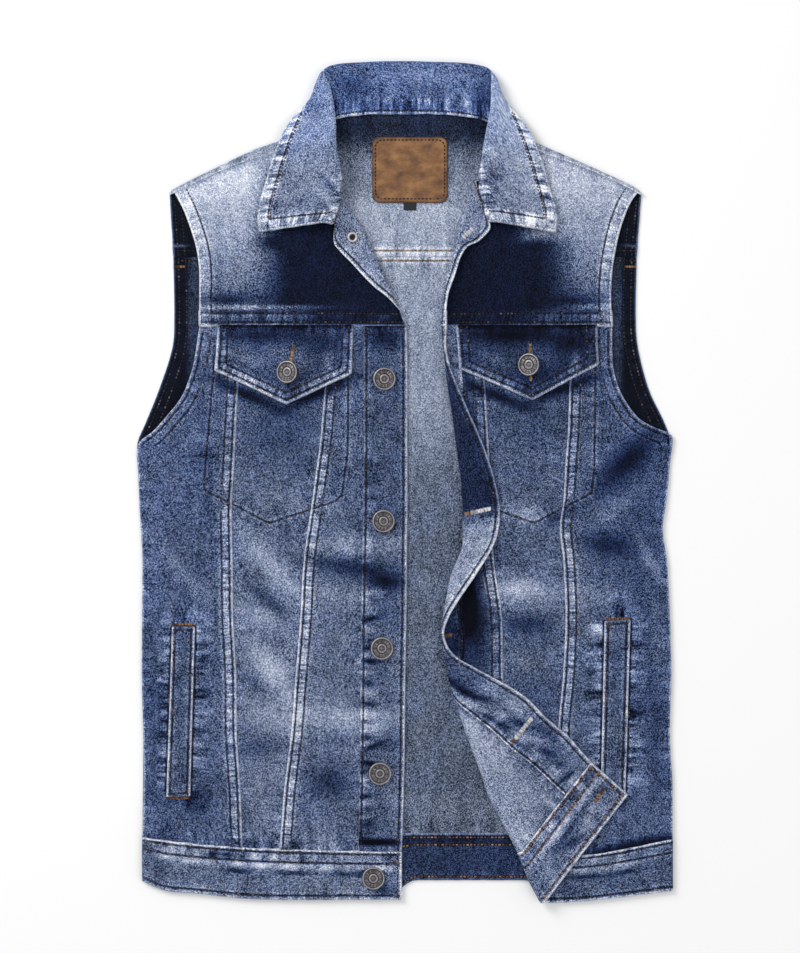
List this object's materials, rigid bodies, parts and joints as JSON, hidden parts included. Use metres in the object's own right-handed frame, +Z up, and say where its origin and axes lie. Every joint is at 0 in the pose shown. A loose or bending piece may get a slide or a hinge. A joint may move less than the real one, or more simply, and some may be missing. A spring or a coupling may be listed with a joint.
{
  "type": "denim vest",
  "caption": "Sleeveless denim trucker vest laid flat, face up, with an open front whose lower corner is folded back, spread collar, flap pockets and slanted hand pockets.",
  "frame": {"origin": "bottom centre of the bounding box of the vest as it lies", "axes": "+Z up from the surface, +Y from the hem towards the collar, +X towards the wearer's left side"},
  "size_m": [0.4804, 0.7564, 0.0206],
  "materials": {
    "denim": "stone-washed indigo twill, faded on raised edges, outside",
    "denim_inside": "grey-blue inside face of the twill",
    "leather": "tan patch leather, worn edges",
    "ribbon": "black woven tab, bare",
    "nickel": "antique nickel, bright on the rims"
  },
  "bodies": {
    "root": {"back_center_panel": "denim_inside", "back_side_panel_right": "denim_inside", "back_side_panel_left": "denim_inside", "waistband_back": "denim", "back_yoke": "denim_inside", "front_side_panel_right": "denim", "front_mid_panel_right": "denim", "front_center_panel_right": "denim", "front_mid_panel_left": "denim", "front_side_panel_left": "denim", "placket_right": "denim", "placket_left": "denim", "front_center_panel_left": "denim", "waistband_front_left": "denim", "waistband_front_right": "denim", "front_yoke_right": "denim", "front_yoke_left": "denim", "pocket_flap_right": "denim", "pocket_flap_left": "denim", "pocket_welt_right": "denim", "pocket_welt_left": "denim", "collar": "denim", "neck_patch": "leather", "size_tab": "ribbon", "button_1": "nickel", "button_2": "nickel", "button_3": "nickel", "button_4": "nickel", "button_waist": "nickel", "button_top": "nickel", "stud_top": "nickel", "button_flap_right": "nickel", "button_flap_left": "nickel"}
  },
  "joints": []
}
